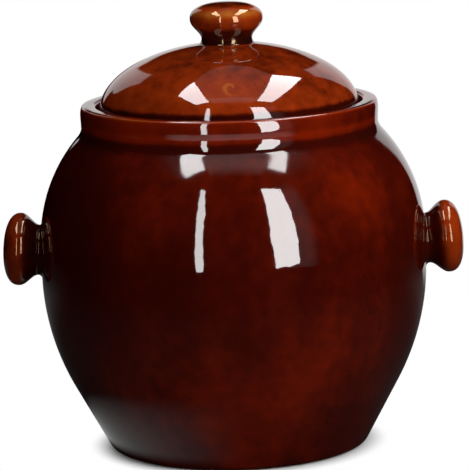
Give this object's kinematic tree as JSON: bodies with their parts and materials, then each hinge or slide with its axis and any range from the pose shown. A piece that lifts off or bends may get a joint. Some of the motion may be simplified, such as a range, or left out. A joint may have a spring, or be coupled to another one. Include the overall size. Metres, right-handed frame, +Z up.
{
  "type": "ceramic crock fermenter",
  "caption": "Round-bellied brown-glazed stoneware fermenting crock with a water-gutter collar, domed knob lid, knob handles and split weight stones inside.",
  "frame": {"origin": "centre of the crock's foot, on the plane that it stands on", "axes": "+Z up along the crock's turning axis, +X through the right handle, -Y towards the viewer of the picture"},
  "size_m": [0.2778, 0.232, 0.2682],
  "materials": {
    "body_glaze": "glossy dark red-brown glaze over stoneware, bare on the foot ring",
    "trim_glaze": "glossy brown glaze that breaks to amber where it is thin",
    "bare_stoneware": "unglazed fired stoneware"
  },
  "bodies": {
    "crock": {"crock": "body_glaze", "left_handle": "trim_glaze", "right_handle": "trim_glaze"},
    "lid": {"lid": "trim_glaze", "lid_knob": "trim_glaze"},
    "left_weight_stone": {"left_weight_stone": "bare_stoneware"},
    "right_weight_stone": {"right_weight_stone": "bare_stoneware"}
  },
  "joints": [
    {"name": "lid_lift", "type": "slide", "parent": "crock", "child": "lid", "axis": [0, 0, 1], "range_m": [0, 0.12]},
    {"name": "left_stone_lift", "type": "slide", "parent": "crock", "child": "left_weight_stone", "axis": [0, 0, 1], "range_m": [0, 0.148]},
    {"name": "right_stone_lift", "type": "slide", "parent": "crock", "child": "right_weight_stone", "axis": [0, 0, 1], "range_m": [0, 0.148]}
  ]
}
